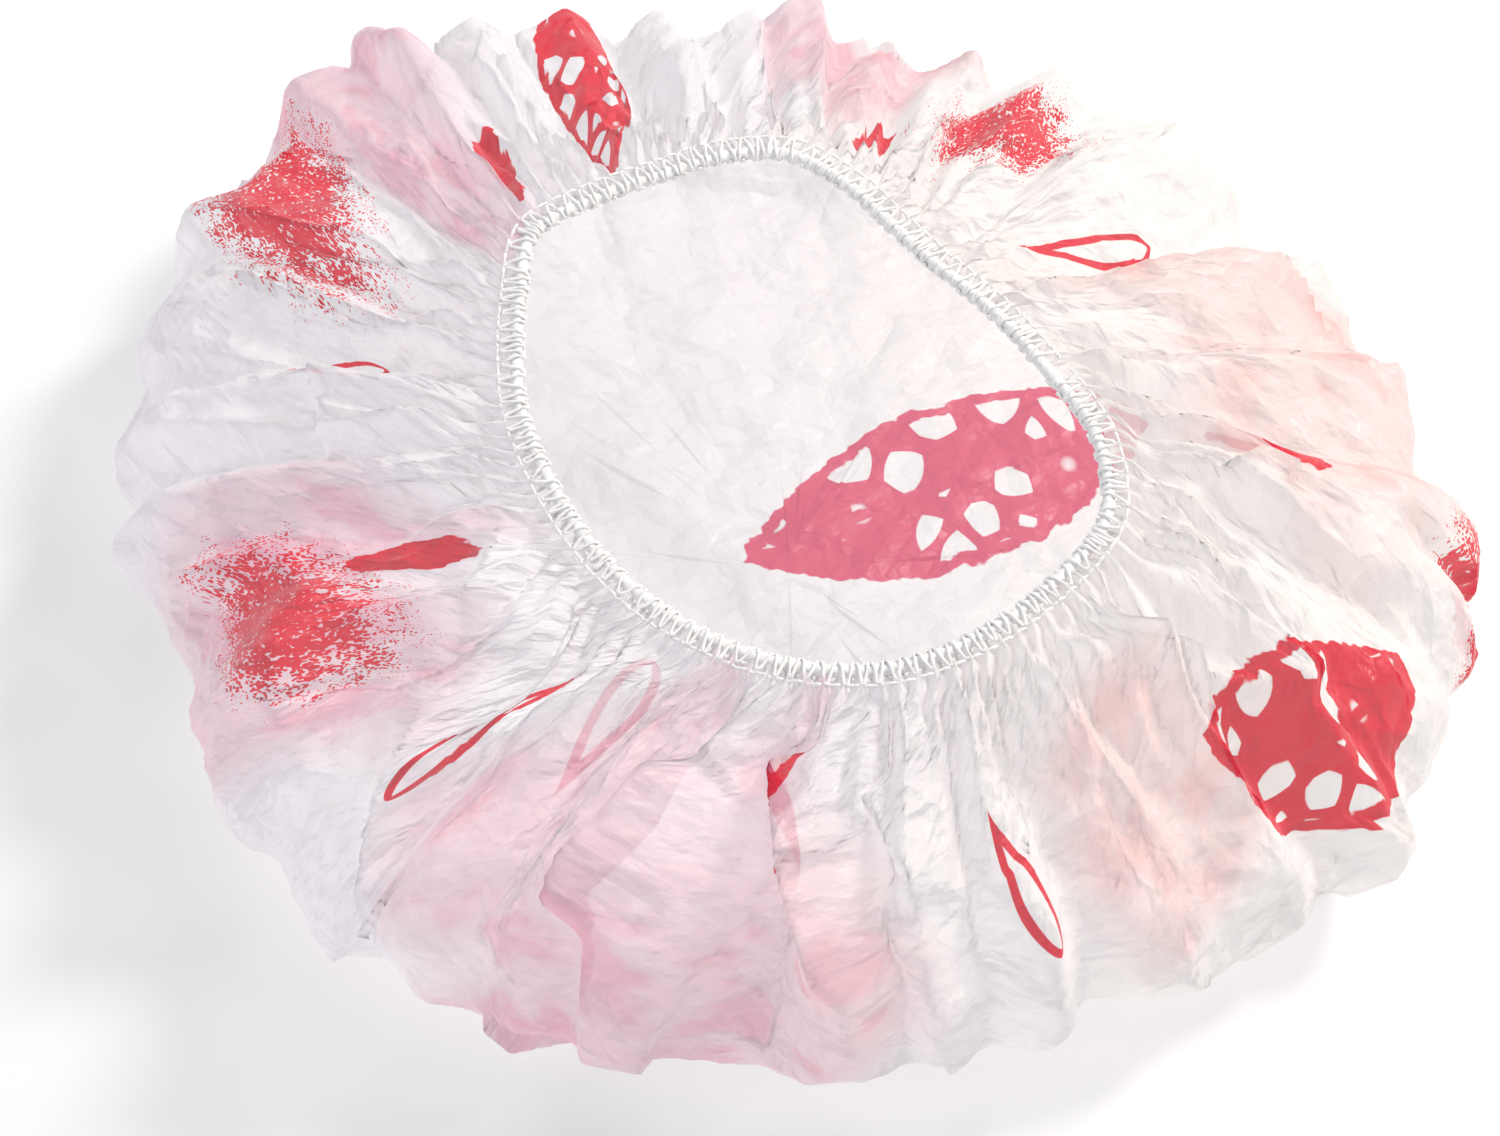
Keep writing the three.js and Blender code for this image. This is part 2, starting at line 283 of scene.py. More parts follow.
# The film's colours, its whites and pinks painted in a cool light for the left and a warm light for the
# right; its pink deepens as the wobble rises and pales as the creases do
FILM_WHITE_IN_PAINTED_WARM_LIGHT = (0.95, 0.925, 0.895, 1)
FILM_WHITE_IN_PAINTED_COOL_LIGHT = (0.915, 0.90, 0.935, 1)
RED_INK = (0.78, 0.010, 0.035, 1)
RED_INK_FROM_INSIDE = (0.76, 0.12, 0.21, 1)
PINK_INK_IN_PAINTED_COOL_LIGHT = (0.84, 0.36, 0.48, 1)
PINK_INK_IN_PAINTED_WARM_LIGHT = (0.93, 0.55, 0.51, 1)
PINK_INK_FROM_INSIDE = (0.94, 0.78, 0.81, 1)
PINK_WOBBLE = (0.3, 0.6)
PALEST_PINK = 0.82
PINK_CREASES = (1.1, 1.7)
CREASED_PINK = 0.6

# The yarn, the elastic's cover and the floor
YARN_WHITE = (0.98, 0.975, 0.965, 1)
ELASTIC_WHITE = (0.96, 0.95, 0.94, 1)
YARN_SHADE = (0.88, 0.87, 0.86, 1)
YARN_ROUGHNESS = 0.85
YARN_SHEEN = 0.4
YARN_SHEEN_ROUGHNESS = 0.5
FIBRE_NOISE = (3.0, 0.7)
FIBRE_STRENGTH = 0.6
FIBRE_HEIGHT = 0.1 * MM
YARN_FIBRES_PER_M = 7000
ELASTIC_FIBRES_PER_M = 5200
FLOOR_WHITE = (0.95, 0.95, 0.95, 1)
FLOOR_ROUGHNESS = 0.9

# The stage: its floor, its world, and each lamp's place, size, power and colour
FLOOR_SIZE = 6
FLOOR_DROP = 0.5 * MM
WORLD_COLOUR = (0.96, 0.965, 1.0, 1)
WORLD_STRENGTH = 0.56
LAMPS = {
    "key_lamp": ((0.85, 0.5, 1.15), 0.4, 17, (1.0, 0.945, 0.875)),
    "fill_lamp": ((-1.0, -0.8, 0.8), 1.2, 3.5, (0.76, 0.84, 1.0)),
}

# The photograph's camera
CAMERA_ELEVATION = math.radians(56)
CAMERA_DISTANCE = 0.750
CAMERA_LENS = 90
SENSOR_WIDTH = 36
IMAGE_WIDTH = 1500
IMAGE_HEIGHT = 1136
ORIGIN_PIXEL = (790, 575)


def smooth_step(low, high, value):
    """From 0 to 1 as value goes from low to high, smoothly."""
    t = np.clip((value - low) / (high - low), 0, 1)
    return t * t * (3 - 2 * t)


def spline(a, b, c, d, t):
    """The place at t of the way from b to c, on a smooth curve through four points."""
    return 0.5 * (2 * b + (c - a) * t + (2 * a - 5 * b + 4 * c - d) * t**2
                  + (3 * b - a - 3 * c + d) * t**3)


def smooth_through(points, steps):
    """A smooth open path through points, with so many steps from each to the next."""
    padded = np.concatenate([points[:1], points, points[-1:]])
    path = []
    for index in range(len(points) - 1):
        for t in np.arange(steps) / steps:
            path.append(spline(*padded[index:index + 4], t))
    return np.array(path + [points[-1]])


def wander(rng, turn, reach, fewest, limit, waves):
    """A smooth closed wave around the cap, the same at 0 and 1."""
    total = np.zeros_like(turn)
    for _ in range(waves):
        total = total + np.sin(2 * math.pi * (rng.integers(fewest, limit) * turn + rng.random()))
    return reach * total / math.sqrt(waves)


# The curves of the cap's outline and its opening

def closed_curve(mean_radius, shares, height_at):
    """A closed smooth curve around the cap, as points spaced evenly along it."""
    count = len(shares)
    angles = np.arange(count) / count * 2 * math.pi
    radii = mean_radius * np.array(shares)
    knots = np.stack([radii * np.cos(angles), radii * np.sin(angles), height_at(angles)], 1)
    place = np.arange(CURVE_SAMPLES) / CURVE_SAMPLES * count
    first = place.astype(int)
    around = [knots[(first + step) % count] for step in (-1, 0, 1, 2)]
    curve = spline(*around, (place - first)[:, None])
    loop = np.vstack([curve, curve[:1]])
    length = np.concatenate([[0], np.cumsum(np.linalg.norm(np.diff(loop, axis=0), axis=1))])
    even = np.arange(CURVE_SAMPLES) / CURVE_SAMPLES * length[-1]
    return np.stack([np.interp(even, length, loop[:, axis]) for axis in range(3)], 1)


def opening_height(angle):
    """The height of the opening's edge, which tilts and waves a little."""
    tilt = OPENING_TILT_SHARE * np.cos(angle - OPENING_TILT_ANGLE)
    wave = OPENING_WAVE_SHARE * np.cos(2 * angle)
    return CAP_HEIGHT * (1 + tilt + wave)


def along(curve, turn):
    """Points of a closed curve at the given shares of its length."""
    place = np.asarray(turn) % 1.0 * CURVE_SAMPLES
    first = place.astype(int) % CURVE_SAMPLES
    t = (place - np.floor(place))[..., None]
    return curve[first] * (1 - t) + curve[(first + 1) % CURVE_SAMPLES] * t


def loop_length(curve):
    return np.linalg.norm(curve - np.roll(curve, 1, 0), axis=1).sum()


OUTLINE = closed_curve(OUTER_RADIUS, OUTLINE_SHARES, np.zeros_like)
OPENING = closed_curve(OPENING_RADIUS, OPENING_SHARES, opening_height)


def opening_outward(turn):
    """The level direction away from the opening at the given shares of its length."""
    step = DIRECTION_SAMPLES / CURVE_SAMPLES
    way = along(OPENING, np.asarray(turn) + step) - along(OPENING, np.asarray(turn) - step)
    outward = np.stack([way[..., 1], -way[..., 0], np.zeros(way.shape[:-1])], -1)
    return outward / np.linalg.norm(outward, axis=-1, keepdims=True)


def seam_point(turn, out, lift):
    """A point of the seam's section: so far outwards from the elastic and so far up."""
    point = along(OPENING, turn) + opening_outward(turn) * np.asarray(out)[..., None]
    point[..., 2] += lift
    return point


# The film's shape

def film_section(turn):
    """The film's plain section for each column, from the crown's middle to the hem's edge."""
    rim = seam_point(turn, np.full_like(turn, HEM_OUT), 0)
    edge = seam_point(turn, np.full_like(turn, FILM_EDGE_OUT), 0)
    outline = along(OUTLINE, turn)
    stations = [np.zeros_like(rim)]
    for out, rise, _ in CROWN_SHARES:
        point = outline * out
        point[:, 2] = rim[:, 2] * rise
        stations.append(point)
    for out, rise, _ in SHOULDER_SHARES:
        point = rim + (outline - rim) * out
        point[:, 2] = rim[:, 2] * rise
        stations.append(point)
    stations += [rim, edge]
    return np.array(stations)


def smooth_sections(stations, shares):
    """Points at the given shares of each section's length, on a smooth curve through its stations."""
    dense = smooth_through(stations, SECTION_STEPS)
    length = np.cumsum(np.linalg.norm(np.diff(dense, axis=0), axis=2), axis=0)
    length = np.concatenate([np.zeros((1, length.shape[1])), length])
    points = np.zeros((len(shares), stations.shape[1], 3))
    for column in range(stations.shape[1]):
        for axis in range(3):
            points[:, column, axis] = np.interp(
                shares * length[-1, column], length[:, column], dense[:, column, axis])
    return points


def way_around(points):
    """At each point of a grid of rings and columns, the way from the column before to the one after."""
    return np.roll(points, -1, 1) - np.roll(points, 1, 1)


def outward_normals(points):
    """The outward direction at each point of a grid of rings and columns."""
    normal = np.cross(way_around(points), np.gradient(points, axis=0))
    return normal / np.maximum(np.linalg.norm(normal, axis=2, keepdims=True), ALMOST_ZERO)


def picture_places(points):
    """Where the camera sees each point, in pixels of the photograph."""
    rise, level = math.sin(CAMERA_ELEVATION), math.cos(CAMERA_ELEVATION)
    up = points[..., 1] * rise + points[..., 2] * level
    depth = CAMERA_DISTANCE + points[..., 1] * level - points[..., 2] * rise
    pixels = CAMERA_LENS / SENSOR_WIDTH * IMAGE_WIDTH / depth
    return np.stack([ORIGIN_PIXEL[0] + points[..., 0] * pixels, ORIGIN_PIXEL[1] - up * pixels], -1)


def line_distance(places, line):
    """How far places lie from a line, above 0 on its right as it is drawn downwards, and how far along."""
    nearest = np.full(places.shape[:-1], np.inf)
    side = np.zeros_like(nearest)
    share = np.zeros_like(nearest)
    line = np.array(line, float)
    lengths = np.linalg.norm(np.diff(line, axis=0), axis=1)
    for index, (start, end) in enumerate(zip(line[:-1], line[1:])):
        way = (end - start) / lengths[index]
        offset = places - start
        run = np.clip(offset @ way, 0, lengths[index])
        distance = np.linalg.norm(offset - run[..., None] * way, axis=-1)
        closer = distance < nearest
        nearest = np.where(closer, distance, nearest)
        side = np.where(closer, offset[..., 0] * way[1] - offset[..., 1] * way[0], side)
        share = np.where(closer, (lengths[:index].sum() + run) / lengths.sum(), share)
    return nearest * np.sign(side), share


def placed_folds(points, normal):
    """The lift of the large folds that are seen from the front, over the plain shape's points."""
    places = picture_places(points)
    eye = np.array([0, -math.cos(CAMERA_ELEVATION), math.sin(CAMERA_ELEVATION)])
    facing = smooth_step(*PLACED_FACING, normal @ eye)
    full, fading = PLACED_ENDS_SHARES
    lift = np.zeros(points.shape[:2])
    for line, height, left_width, right_width in PLACED_FOLDS:
        distance, share = line_distance(places, line)
        width = np.where(distance < 0, left_width, right_width)
        ends = smooth_step(0, full, share) * (1 - smooth_step(fading, 1, share))
        ends = PLACED_TIP_SHARE + (1 - PLACED_TIP_SHARE) * ends
        lift += height * np.exp(-np.abs(distance / width) ** PLACED_SHARPNESS) * ends * facing
    return lift


def crests_and_valleys():
    """Each main fold's crest and the valley after it, in the columns of MAIN_FOLD_SHARES."""
    crests = np.array(MAIN_FOLD_SHARES)
    after = np.roll(crests, -1, 0)
    after[-1, :2] += 1
    valleys = (crests + after) / 2
    valleys[:, 2:] *= -1
    return np.stack([crests, valleys], 1).reshape(-1, 4)


def main_folds(stations, turn, shares):
    """For each place how far out it lies, where among the main folds, and their lift there."""
    reach = np.linalg.norm(np.diff(stations, axis=0), axis=2).mean(1)
    place = np.concatenate([[0], np.cumsum(reach)]) / reach.sum()
    far = [1] * (1 + len(CROWN_SHARES)) + [out for out, _, _ in SHOULDER_SHARES] + [0, 0]
    depth = [0] + [depth for _, _, depth in CROWN_SHARES + SHOULDER_SHARES] + [0, 0]
    folds = crests_and_valleys()
    count = np.arange(-len(folds), 2 * len(folds)) / 2
    hem_length, outline_length = loop_length(OPENING), loop_length(OUTLINE)
    outs, phases, lifts = [], [], []
    for share in shares:
        out = np.interp(share, place, far)
        pull = out * outline_length / (out * outline_length + (1 - out) * hem_length)
        around = folds[:, 0] + (folds[:, 1] - folds[:, 0]) * pull
        height = folds[:, 2] + (folds[:, 3] - folds[:, 2]) * out
        phase = np.interp(turn, np.concatenate([around - 1, around, around + 1]), count)
        before = np.floor(2 * phase).astype(int)
        t = 2 * phase - before
        t += out * (smooth_step(0, 1, t) - t)
        before %= len(folds)
        profile = height[before] * (1 - t) + height[(before + 1) % len(folds)] * t
        outs.append(np.full_like(turn, out))
        phases.append(phase)
        lifts.append(FOLD_DEPTH / 2 * np.interp(share, place, depth) * profile)
    return np.array(outs), np.array(phases), np.array(lifts)


def pleats(rng, phase, out):
    """The lift of the pleats that split the main folds towards the hem."""
    lift = np.zeros_like(phase)
    turns = phase / len(MAIN_FOLD_SHARES)
    for split, depth, full, end in PLEATS:
        count = split * len(MAIN_FOLD_SHARES)
        place = split * phase + wander(rng, turns, PLEAT_DRIFT, *PLEAT_WAVES)
        place = place + wander(rng, turns, PLEAT_DRIFT, *PLEAT_SPREAD_WAVES) * out * split
        index = np.floor(place).astype(int) % count
        height = rng.uniform(*PLEAT_HEIGHT_SHARES, count)[index]
        last = end * rng.uniform(*PLEAT_LENGTH_SHARES, count)[index]
        ridge = height * (1 - smooth_step(last * PLEAT_FADE_SHARE, last, out))
        ridge = ridge * (1 - np.abs(2 * (place % 1) - 1))
        offset = PLEAT_OFFSET_SHARE * (1 - smooth_step(end * PLEAT_FADE_SHARE, end, out))
        lift += depth * smooth_step(0, full, out) * (ridge - offset)
    return lift


def crumples(rng, sheet, cell_size):
    """The height of tilted facets with sharp ridges between them, beside their depth."""
    cells = int(2 * FILM_RADIUS / cell_size) + 2 * SPARE_CELLS
    spots = rng.uniform(*FACET_SPOT_SHARES, (cells, cells, 2))
    rises = rng.uniform(-1, 1, (cells, cells))
    slopes = rng.uniform(-1, 1, (cells, cells, 2))
    place = (sheet + FILM_RADIUS) / cell_size + SPARE_CELLS
    cell = np.floor(place).astype(int)
    lowest = np.full(sheet.shape[:-1], np.inf)
    for step_x in (-1, 0, 1):
        for step_y in (-1, 0, 1):
            x = np.clip(cell[..., 0] + step_x, 0, cells - 1)
            y = np.clip(cell[..., 1] + step_y, 0, cells - 1)
            offset = place - np.stack([x, y], -1) - spots[x, y]
            plane = FACET_RISE_SHARE * rises[x, y] + (offset * slopes[x, y]).sum(-1)
            bulge = (offset**2).sum(-1)
            lowest = np.minimum(lowest, FACET_TILT * plane + FACET_BULGE * bulge)
    return lowest


def film_points():
    """The film's grid of points and its flat coordinates."""
    rng = np.random.default_rng(FILM_SEED)
    turn = np.arange(FILM_COLUMNS) / FILM_COLUMNS
    distance = np.concatenate([CROWN_DISTANCES, np.arange(SHOULDER_START, FILM_RADIUS, RING_STEP)])
    distance = np.append(distance, FILM_RADIUS)
    share = distance / FILM_RADIUS
    stations = film_section(turn)
    plain = smooth_sections(stations, share)
    normal = outward_normals(plain)
    turns, shares = np.meshgrid(turn, share)
    from_hem = (1 - shares)[..., None]

    out, phase, lift = main_folds(stations, turn, share)
    placed = placed_folds(plain, normal) * smooth_step(*PLACED_NEAR_HEM_SHARES, out)
    lift += placed * (1 - PLACED_LOSS_SHARE * smooth_step(*PLACED_AT_OUTLINE_SHARES, out))
    lean = wander(rng, turns, FOLD_LEAN, *LEAN_WAVES) * lift
    around = way_around(plain)
    around /= np.linalg.norm(around, axis=2, keepdims=True)
    lift += pleats(rng, phase, out) * smooth_step(*PLEATED_FROM_SHARES, shares)
    points = plain + normal * lift[..., None] + around * lean[..., None]
    ruffle = RUFFLE_DEPTH * np.sin(2 * math.pi * RUFFLES * turns)
    points += normal * (ruffle[..., None] * (1 - smooth_step(0, RUFFLED_SHARE, from_hem)))

    angle = turns * 2 * math.pi
    flat = np.stack([shares * np.cos(angle), shares * np.sin(angle)], -1) * FILM_RADIUS
    calm = 1 - CALM_MIDDLE_LOSS_SHARE * smooth_step(*CALM_MIDDLE_SHARES, from_hem)
    loose = smooth_step(0, CRUMPLED_FROM_HEM_SHARE, from_hem) * calm
    drawn_out = LONG_CREASES_SHARE + LONG_CREASES_SPARE / (shares[..., None] * FILM_RADIUS)
    squeezed = flat * np.minimum(1, drawn_out)
    for cell_size, depth in CRUMPLES:
        points += normal * (crumples(rng, squeezed, cell_size)[..., None] * depth * loose)
    points[..., 2] = np.maximum(points[..., 2], FLOOR_CLEARANCE)
    return points, flat


# Meshes

def new_piece(name, vertices, faces):
    """A smooth-shaded piece from its points and faces."""
    mesh = bpy.data.meshes.new(name)
    mesh.from_pydata(vertices.tolist(), [], faces)
    mesh.polygons.foreach_set("use_smooth", np.ones(len(mesh.polygons), bool))
    mesh.update()
    piece = bpy.data.objects.new(name, mesh)
    bpy.context.scene.collection.objects.link(piece)
    return piece


def read_numbers(things, name):
    """A whole number of each of a mesh's corners or faces."""
    numbers = np.zeros(len(things), int)
    things.foreach_get(name, numbers)
    return numbers


def add_uv_map(mesh, name, places):
    layer = mesh.uv_layers.new(name=name)
    layer.data.foreach_set("uv", places.astype(np.float32).ravel())


def add_point_values(mesh, name, values):
    attribute = mesh.attributes.new(name, "FLOAT", "POINT")
    attribute.data.foreach_set("value", values.astype(np.float32))


def grid_mesh(name, points, sheet):
    """A mesh of rings closed by a fan at the crown's middle, with its flat places as a UV map."""
    rings, columns = points.shape[:2]
    middle = points[0].mean(0, keepdims=True)
    here = np.arange(columns)
    after = (here + 1) % columns
    faces = []
    for ring in range(rings - 1):
        low, high = 1 + ring * columns, 1 + (ring + 1) * columns
        faces += np.stack([low + here, low + after, high + after, high + here], 1).tolist()
    faces += np.stack([np.zeros_like(here), 1 + after, 1 + here], 1).tolist()
    piece = new_piece(name, np.vstack([middle, points.reshape(-1, 3)]), faces)
    spots = sheet / (2 * FILM_RADIUS) + 0.5
    add_uv_map(piece.data, "sheet", spots[read_numbers(piece.data.loops, "vertex_index")])
    return piece


def swept_mesh(name, path, radius, sides, strands, twists, closed):
    """A tube along a path: a closed one has a crossed braid on its surface, an open one twisted plies."""
    ahead = np.roll(path, -1, 0) - np.roll(path, 1, 0)
    if not closed:
        ahead[0] = path[1] - path[0]
        ahead[-1] = path[-1] - path[-2]
    ahead /= np.linalg.norm(ahead, axis=1, keepdims=True)
    across = np.zeros_like(path)
    last = np.cross(ahead[0], (0, 0, 1))
    for index, way in enumerate(ahead):
        last = last - way * (last @ way)
        last /= np.linalg.norm(last)
        across[index] = last
    up = np.cross(ahead, across)
    rings = len(path)
    run = np.arange(rings) / rings * 2 * math.pi
    angles = np.arange(sides) / sides * 2 * math.pi
    twisted = np.cos(strands * angles + twists * run[:, None])
    crossed = np.cos(strands * angles - twists * run[:, None])
    relief = np.maximum(twisted, crossed) if closed else twisted
    reach = radius * (1 + PLY_RELIEF * relief)
    if not closed:
        swell = np.random.default_rng(THREAD_SEED).uniform(*YARN_SWELL_SHARES, rings + 2)
        reach *= ((swell[:-2] + swell[1:-1] + swell[2:]) / 3)[:, None]
    points = path[:, None] + reach[..., None] * (
        np.cos(angles)[None, :, None] * across[:, None] + np.sin(angles)[None, :, None] * up[:, None])
    here = np.arange(sides)
    after = (here + 1) % sides
    faces = []
    for ring in range(rings if closed else rings - 1):
        low, high = ring * sides, (ring + 1) % rings * sides
        faces += np.stack([low + here, high + here, high + after, low + after], 1).tolist()
    if not closed:
        faces += [here.tolist(), ((rings - 1) * sides + here[::-1]).tolist()]
    return new_piece(name, points.reshape(-1, 3), faces)


# Materials

class Wiring:
    """Short ways to add and join the nodes of one material or node group."""

    def __init__(self, tree):
        self.tree = tree

    def node(self, kind, **settings):
        node = self.tree.nodes.new(kind)
        for name, value in settings.items():
            setattr(node, name, value)
        return node

    def feed(self, socket, value):
        if isinstance(value, bpy.types.NodeSocket):
            self.tree.links.new(value, socket)
        else:
            socket.default_value = value

    def math(self, operation, *values):
        node = self.node("ShaderNodeMath", operation=operation)
        for socket, value in zip(node.inputs, values):
            self.feed(socket, value)
        return node.outputs[0]

    def vector_math(self, operation, *values):
        node = self.node("ShaderNodeVectorMath", operation=operation)
        for socket, value in zip(node.inputs, values):
            self.feed(socket, value)
        return node.outputs["Value" if operation == "LENGTH" else "Vector"]

    def ramp(self, value, low, high, start=0.0, end=1.0):
        """From start to end as value goes from low to high, smoothly."""
        node = self.node("ShaderNodeMapRange", interpolation_type="SMOOTHSTEP")
        for socket, number in zip(node.inputs, (value, low, high, start, end)):
            self.feed(socket, number)
        return node.outputs[0]

    def mix_colour(self, share, below, above):
        node = self.node("ShaderNodeMix", data_type="RGBA")
        self.feed(node.inputs["Factor"], share)
        self.feed(node.inputs["A"], below)
        self.feed(node.inputs["B"], above)
        return node.outputs["Result"]

    def mix_shader(self, share, below, above):
        node = self.node("ShaderNodeMixShader")
        self.feed(node.inputs["Fac"], share)
        self.feed(node.inputs[1], below)
        self.feed(node.inputs[2], above)
        return node.outputs[0]

    def noise(self, place, scale, detail, roughness):
        node = self.node("ShaderNodeTexNoise")
        self.feed(node.inputs["Vector"], place)
        self.feed(node.inputs["Scale"], scale)
        self.feed(node.inputs["Detail"], detail)
        self.feed(node.inputs["Roughness"], roughness)
        return node.outputs["Fac"]

    def cells(self, place, scale, feature="F1", randomness=1.0, distance="EUCLIDEAN"):
        node = self.node("ShaderNodeTexVoronoi", feature=feature, distance=distance)
        self.feed(node.inputs["Vector"], place)
        self.feed(node.inputs["Scale"], scale)
        self.feed(node.inputs["Randomness"], randomness)
        return node.outputs["Distance"]

    def bump(self, height, strength, distance):
        node = self.node("ShaderNodeBump")
        self.feed(node.inputs["Strength"], strength)
        self.feed(node.inputs["Distance"], distance)
        self.feed(node.inputs["Height"], height)
        return node.outputs[0]

    def group(self, tree, **values):
        node = self.node("ShaderNodeGroup")
        node.node_tree = tree
        for name, value in values.items():
            self.feed(node.inputs[name], value)
        return node.outputs[0]


def new_group(name, inputs, output):
    """An empty node group with its sockets, its wiring, its input's sockets and its output's."""
    tree = bpy.data.node_groups.new(name, "ShaderNodeTree")
    for label, kind in inputs.items():
        tree.interface.new_socket(label, in_out="INPUT", socket_type="NodeSocket" + kind)
    tree.interface.new_socket(output, in_out="OUTPUT", socket_type="NodeSocketFloat")
    w = Wiring(tree)
    return tree, w, w.node("NodeGroupInput").outputs, w.node("NodeGroupOutput").inputs[0]


def new_material(name):
    """A material, its Principled shader and its wiring."""
    material = bpy.data.materials.new(name)
    material.use_nodes = True
    return material, material.node_tree.nodes["Principled BSDF"], Wiring(material.node_tree)


def split_place(w, place):
    """The place along a motif and across it."""
    parts = w.node("ShaderNodeSeparateXYZ")
    w.feed(parts.inputs[0], place)
    return parts.outputs[0], parts.outputs[1]


def distance_from_middle(w, place):
    """How far a place lies from the motif's middle, whatever its third coordinate says."""
    return w.vector_math("LENGTH", w.vector_math("MULTIPLY", place, (1.0, 1.0, 0.0)))


def leaf_group():
    """A pointed leaf with pale cells between its veins."""
    tree, w, given, result = new_group("printed_leaf", {"Place": "Vector", "Wobble": "Float"}, "Ink")
    along_leaf, across = split_place(w, given["Place"])
    beside = w.math("ABSOLUTE", across)
    bulge = w.math("SUBTRACT", 1.0, w.math("POWER", w.math("ABSOLUTE", along_leaf), LEAF_POINT))
    wobble = w.math("MULTIPLY_ADD", given["Wobble"], LEAF_WOBBLE_SHARE, -LEAF_WOBBLE_SHARE / 2)
    half = w.math("MULTIPLY_ADD", bulge, LEAF_WIDTH_SHARE, wobble)
    inside = w.math("SUBTRACT", half, beside)
    outline = w.ramp(inside, 0.0, LEAF_EDGE_SHARE)
    border = w.ramp(inside, *LEAF_BORDER_SHARES, 1.0, 0.0)
    rib = w.ramp(beside, *LEAF_RIB_SHARES, 1.0, 0.0)
    slanted = w.vector_math("MULTIPLY", given["Place"], LEAF_CELL_SHARES)
    middle = w.cells(slanted, LEAF_CELLS, "F1", LEAF_CELL_SCATTER)
    edge = w.cells(slanted, LEAF_CELLS, "DISTANCE_TO_EDGE", LEAF_CELL_SCATTER)
    corner = w.math("MULTIPLY", w.math("MULTIPLY", middle, middle), LEAF_CELL_ROUNDING)
    veins = w.ramp(w.math("SUBTRACT", edge, corner), *LEAF_VEIN_SHARES, 1.0, 0.0)
    lines = w.math("MAXIMUM", border, w.math("MAXIMUM", rib, veins))
    w.feed(result, w.math("MULTIPLY", outline, lines))
    return tree


def drop_group():
    """A long drop drawn as one thick line."""
    tree, w, given, result = new_group("printed_drop", {"Place": "Vector"}, "Ink")
    along_drop, across = split_place(w, given["Place"])
    widening = w.math("MULTIPLY_ADD", along_drop, DROP_WIDENING_SHARE, DROP_WIDTH_SHARE)
    end = w.math("SUBTRACT", 1.0, w.math("MULTIPLY", along_drop, along_drop))
    half = w.math("MULTIPLY", widening, w.math("SQRT", w.math("MAXIMUM", end, 0.0)))
    inside = w.math("SUBTRACT", half, w.math("ABSOLUTE", across))
    from_line = w.math("ABSOLUTE", w.math("SUBTRACT", inside, DROP_LINE_SHARE))
    w.feed(result, w.ramp(from_line, *DROP_LINE_EDGE_SHARES, 1.0, 0.0))
    return tree


def stroke_group():
    """A filled brush stroke with ragged ends."""
    tree, w, given, result = new_group("printed_stroke", {"Place": "Vector", "Wobble": "Float"}, "Ink")
    away = distance_from_middle(w, given["Place"])
    ragged = w.math("MULTIPLY_ADD", given["Wobble"], STROKE_WOBBLE_SHARE, away)
    w.feed(result, w.ramp(ragged, *STROKE_EDGE_SHARES, 1.0, 0.0))
    return tree


def spray_group():
    """A patch of sprayed specks, dense in its middle and sparse at its edge."""
    tree, w, given, result = new_group(
        "printed_spray", {"Place": "Vector", "Sheet": "Vector", "Wobble": "Float"}, "Ink")
    away = distance_from_middle(w, given["Place"])
    away = w.math("MULTIPLY_ADD", given["Wobble"], SPRAY_WOBBLE_SHARE, away)
    dense = w.ramp(away, *SPRAY_EDGE_SHARES, 1.0, 0.0)
    drift = w.math("MULTIPLY_ADD", w.noise(given["Sheet"], *SPRAY_NOISE), SPRAY_NOISE_SHARE,
                   SPRAY_NOISE_OFFSET)
    reach = w.math("MULTIPLY_ADD", dense, SPRAY_DENSITY, drift)
    specks = w.cells(given["Sheet"], SPECKS_PER_MM)
    w.feed(result, w.ramp(w.math("SUBTRACT", reach, specks), 0.0, SPECK_EDGE))
    return tree


def crease_group():
    """The height of the small flat facets and sharp creases in crumpled film, faint on the crown."""
    tree, w, given, result = new_group("film_creases", {"Sheet": "Vector"}, "Height")
    away = w.vector_math("LENGTH", given["Sheet"])
    drawn_out = w.math("ADD", LONG_CREASES_SHARE, w.math("DIVIDE", LONG_CREASES_SPARE / MM, away))
    place = w.vector_math("MULTIPLY", given["Sheet"], w.math("MINIMUM", 1.0, drawn_out))
    height = w.math("MULTIPLY", w.noise(place, *CREASE_SWELL), CREASE_SWELL_SHARE)
    for angle, scale, share in CREASES:
        turned = w.node("ShaderNodeVectorRotate", rotation_type="Z_AXIS")
        w.feed(turned.inputs["Vector"], place)
        w.feed(turned.inputs["Angle"], math.radians(angle))
        facets = w.cells(turned.outputs[0], scale, distance="MANHATTAN")
        height = w.math("MULTIPLY_ADD", facets, share, height)
    near, far = CALM_CROWN_EDGE
    calm = w.ramp(away, near / MM, far / MM, CALM_CROWN_SHARE, 1.0)
    w.feed(result, w.math("MULTIPLY", height, calm))
    return tree


